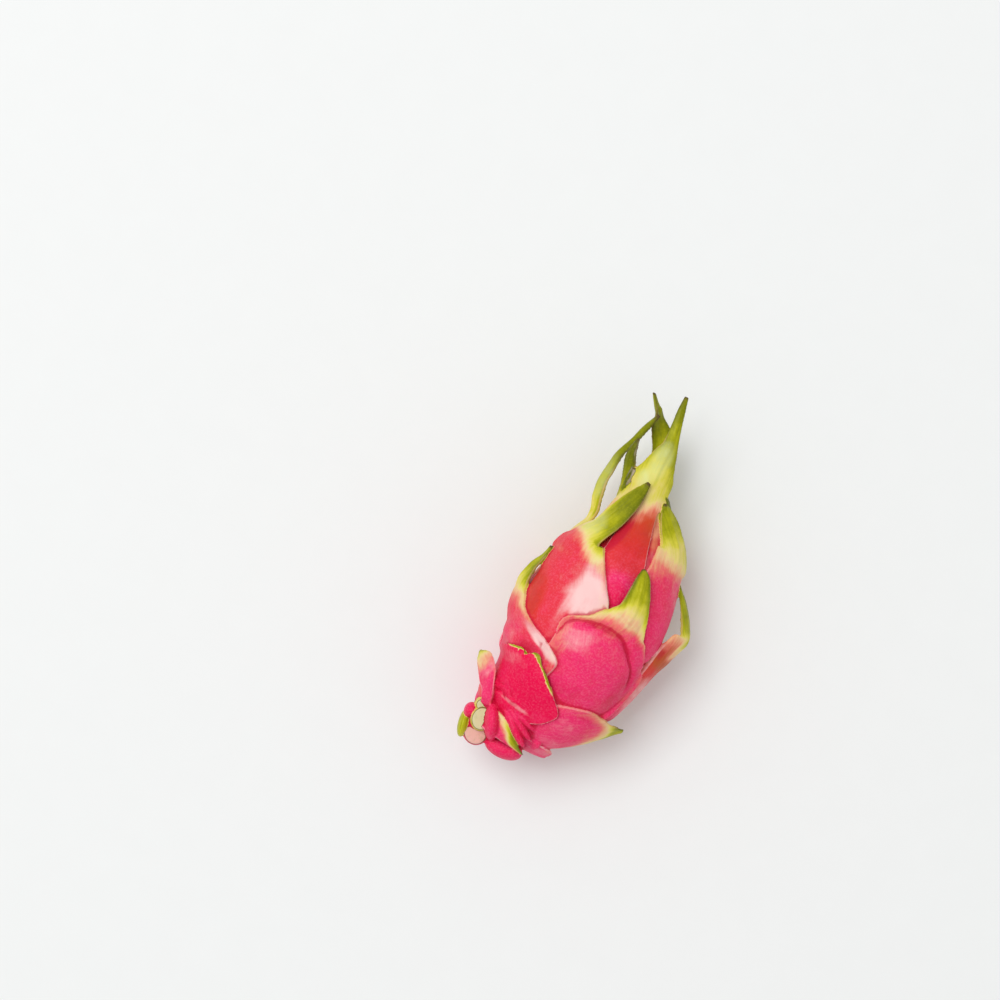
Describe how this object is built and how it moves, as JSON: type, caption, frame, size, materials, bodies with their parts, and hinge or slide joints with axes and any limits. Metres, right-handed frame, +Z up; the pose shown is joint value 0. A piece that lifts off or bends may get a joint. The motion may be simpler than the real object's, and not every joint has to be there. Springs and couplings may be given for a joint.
{
  "type": "dragon fruit",
  "caption": "Whole ripe dragon fruit lying on its side, pink peel with overlapping pointed green-tipped scales and a crown of long scales round the dried flower.",
  "frame": {"origin": "on the surface that the fruit lies on, under the middle of its bounding box", "axes": "+Y along the fruit from the cut stem to the crown, +Z up from the flat spot that it rests on, +X to the right seen from above with the crown away"},
  "size_m": [0.0828, 0.1866, 0.0721],
  "materials": {
    "peel": "waxy satin, pink to coral red, yellow and green on the scales' blades, brown at dry tips",
    "dried_flower": "dry, papery, matte brown"
  },
  "bodies": {
    "root": {"fruit": "peel", "dried_flower": "dried_flower"}
  },
  "joints": []
}
